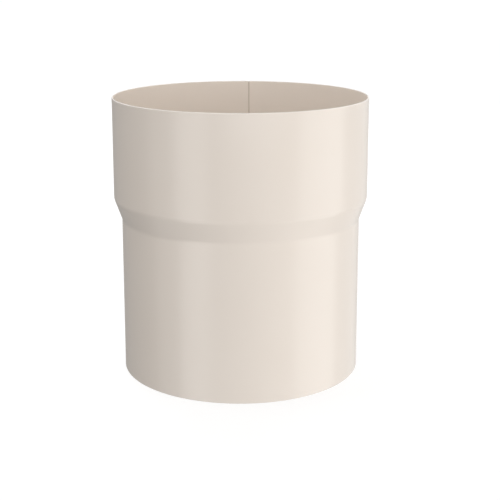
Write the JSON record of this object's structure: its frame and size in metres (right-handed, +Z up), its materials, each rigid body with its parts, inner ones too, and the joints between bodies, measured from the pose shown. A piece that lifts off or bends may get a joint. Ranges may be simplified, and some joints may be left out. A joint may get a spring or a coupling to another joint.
{
  "type": "downpipe connector",
  "caption": "Round stepped tube of coated sheet steel that joins lengths of downpipe, with a wide socket above and a narrower spigot below.",
  "frame": {"origin": "centre of the spigot's lower end, on the surface that the connector stands on", "axes": "+Z up along the tube from the spigot to the socket, +Y towards the welded seam"},
  "size_m": [0.1022, 0.1022, 0.111],
  "materials": {
    "coated_steel": "satin cream coating on galvanised sheet steel"
  },
  "bodies": {
    "root": {"connector": "coated_steel"}
  },
  "joints": []
}
